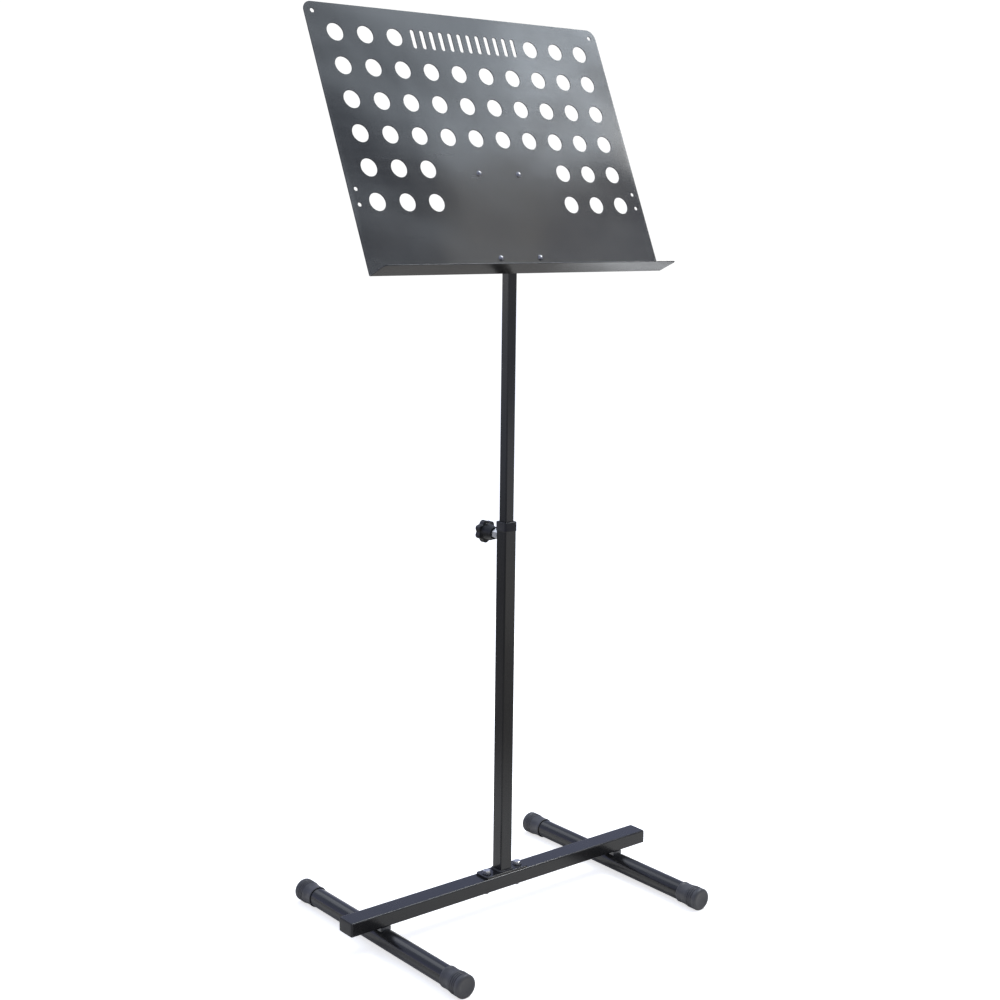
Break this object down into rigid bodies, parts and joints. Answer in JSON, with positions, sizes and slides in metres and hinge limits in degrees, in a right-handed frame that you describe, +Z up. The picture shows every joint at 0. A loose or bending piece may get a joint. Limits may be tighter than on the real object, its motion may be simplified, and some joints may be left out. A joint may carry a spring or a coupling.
{
  "type": "music stand",
  "caption": "Orchestral music stand: perforated sheet-metal desk with a bent ledge, tilting on a height-adjustable square mast over a bar base with round capped feet.",
  "frame": {"origin": "on the floor, at the centre of the base, under the mast's axis", "axes": "+X to the player's right along the crossbar, +Y away from the player, +Z up the mast"},
  "size_m": [0.54, 0.382, 1.2443],
  "materials": {
    "tube_paint": "semi-gloss black powder coat",
    "desk_paint": "satin black powder coat with a fine texture",
    "rubber": "matt moulded rubber",
    "black_plastic": "fine-grained moulded plastic",
    "nylon": "natural nylon",
    "zinc": "bright zinc plate",
    "black_screw": "glossy black",
    "brass": "turned brass"
  },
  "bodies": {
    "base": {"leg_left": "tube_paint", "leg_right": "tube_paint", "foot_cap_front_left": "rubber", "foot_cap_front_right": "rubber", "foot_cap_rear_left": "rubber", "foot_cap_rear_right": "rubber", "crossbar": "tube_paint", "crossbar_plug_left": "black_plastic", "crossbar_plug_right": "black_plastic", "leg_saddle_left": "zinc", "leg_saddle_right": "zinc", "leg_bolts": "zinc", "leg_nuts": "zinc", "mast_foot_plate": "tube_paint", "mast_weld": "tube_paint", "mast_bolts": "zinc", "mast_washers": "zinc", "mast_nuts": "zinc", "lower_tube": "tube_paint", "guide_bush": "black_plastic", "clamp_nut": "zinc"},
    "mast": {"upper_tube": "tube_paint", "mast_glide": "nylon", "mast_top_plug": "black_plastic"},
    "clamp_tip": {"clamp_pad": "brass"},
    "clamp_screw": {"clamp_stud": "zinc", "clamp_knob": "black_plastic"},
    "desk": {"desk_panel": "desk_paint", "desk_bracket": "desk_paint", "desk_screws": "black_screw", "desk_nuts": "zinc", "tilt_bolt": "zinc", "friction_washer_left": "nylon", "friction_washer_right": "nylon"},
    "tilt_spacer": {"tilt_washer": "zinc"},
    "tilt_lock": {"tilt_insert": "brass", "tilt_knob": "black_plastic"}
  },
  "joints": [
    {"name": "mast_slide", "type": "slide", "parent": "base", "child": "mast", "axis": [0, 0, 1], "range_m": [-0.33, 0.11]},
    {"name": "desk_tilt", "type": "hinge", "parent": "mast", "child": "desk", "pos_m": [0, 0, 0.927], "axis": [-1, 0, 0], "range_deg": [-23.8, 66.2]},
    {"name": "clamp_travel", "type": "slide", "parent": "base", "child": "clamp_tip", "axis": [0, 1, 0], "range_m": [0, 0.00219]},
    {"name": "clamp_turn", "type": "hinge", "parent": "clamp_tip", "child": "clamp_screw", "pos_m": [0, 0.04, 0.542], "axis": [0, 1, 0], "range_deg": [0, 631]},
    {"name": "tilt_travel", "type": "slide", "parent": "desk", "child": "tilt_spacer", "axis": [1, 0, 0], "range_m": [0, 0.00219]},
    {"name": "tilt_turn", "type": "hinge", "parent": "tilt_spacer", "child": "tilt_lock", "pos_m": [0.02, 0, 0.927], "axis": [1, 0, 0], "range_deg": [0, 631]}
  ],
  "couplings": [
    {"joint": "clamp_turn", "follows": "clamp_travel", "rad_per_m": 5026.5},
    {"joint": "tilt_turn", "follows": "tilt_travel", "rad_per_m": 5026.5}
  ]
}
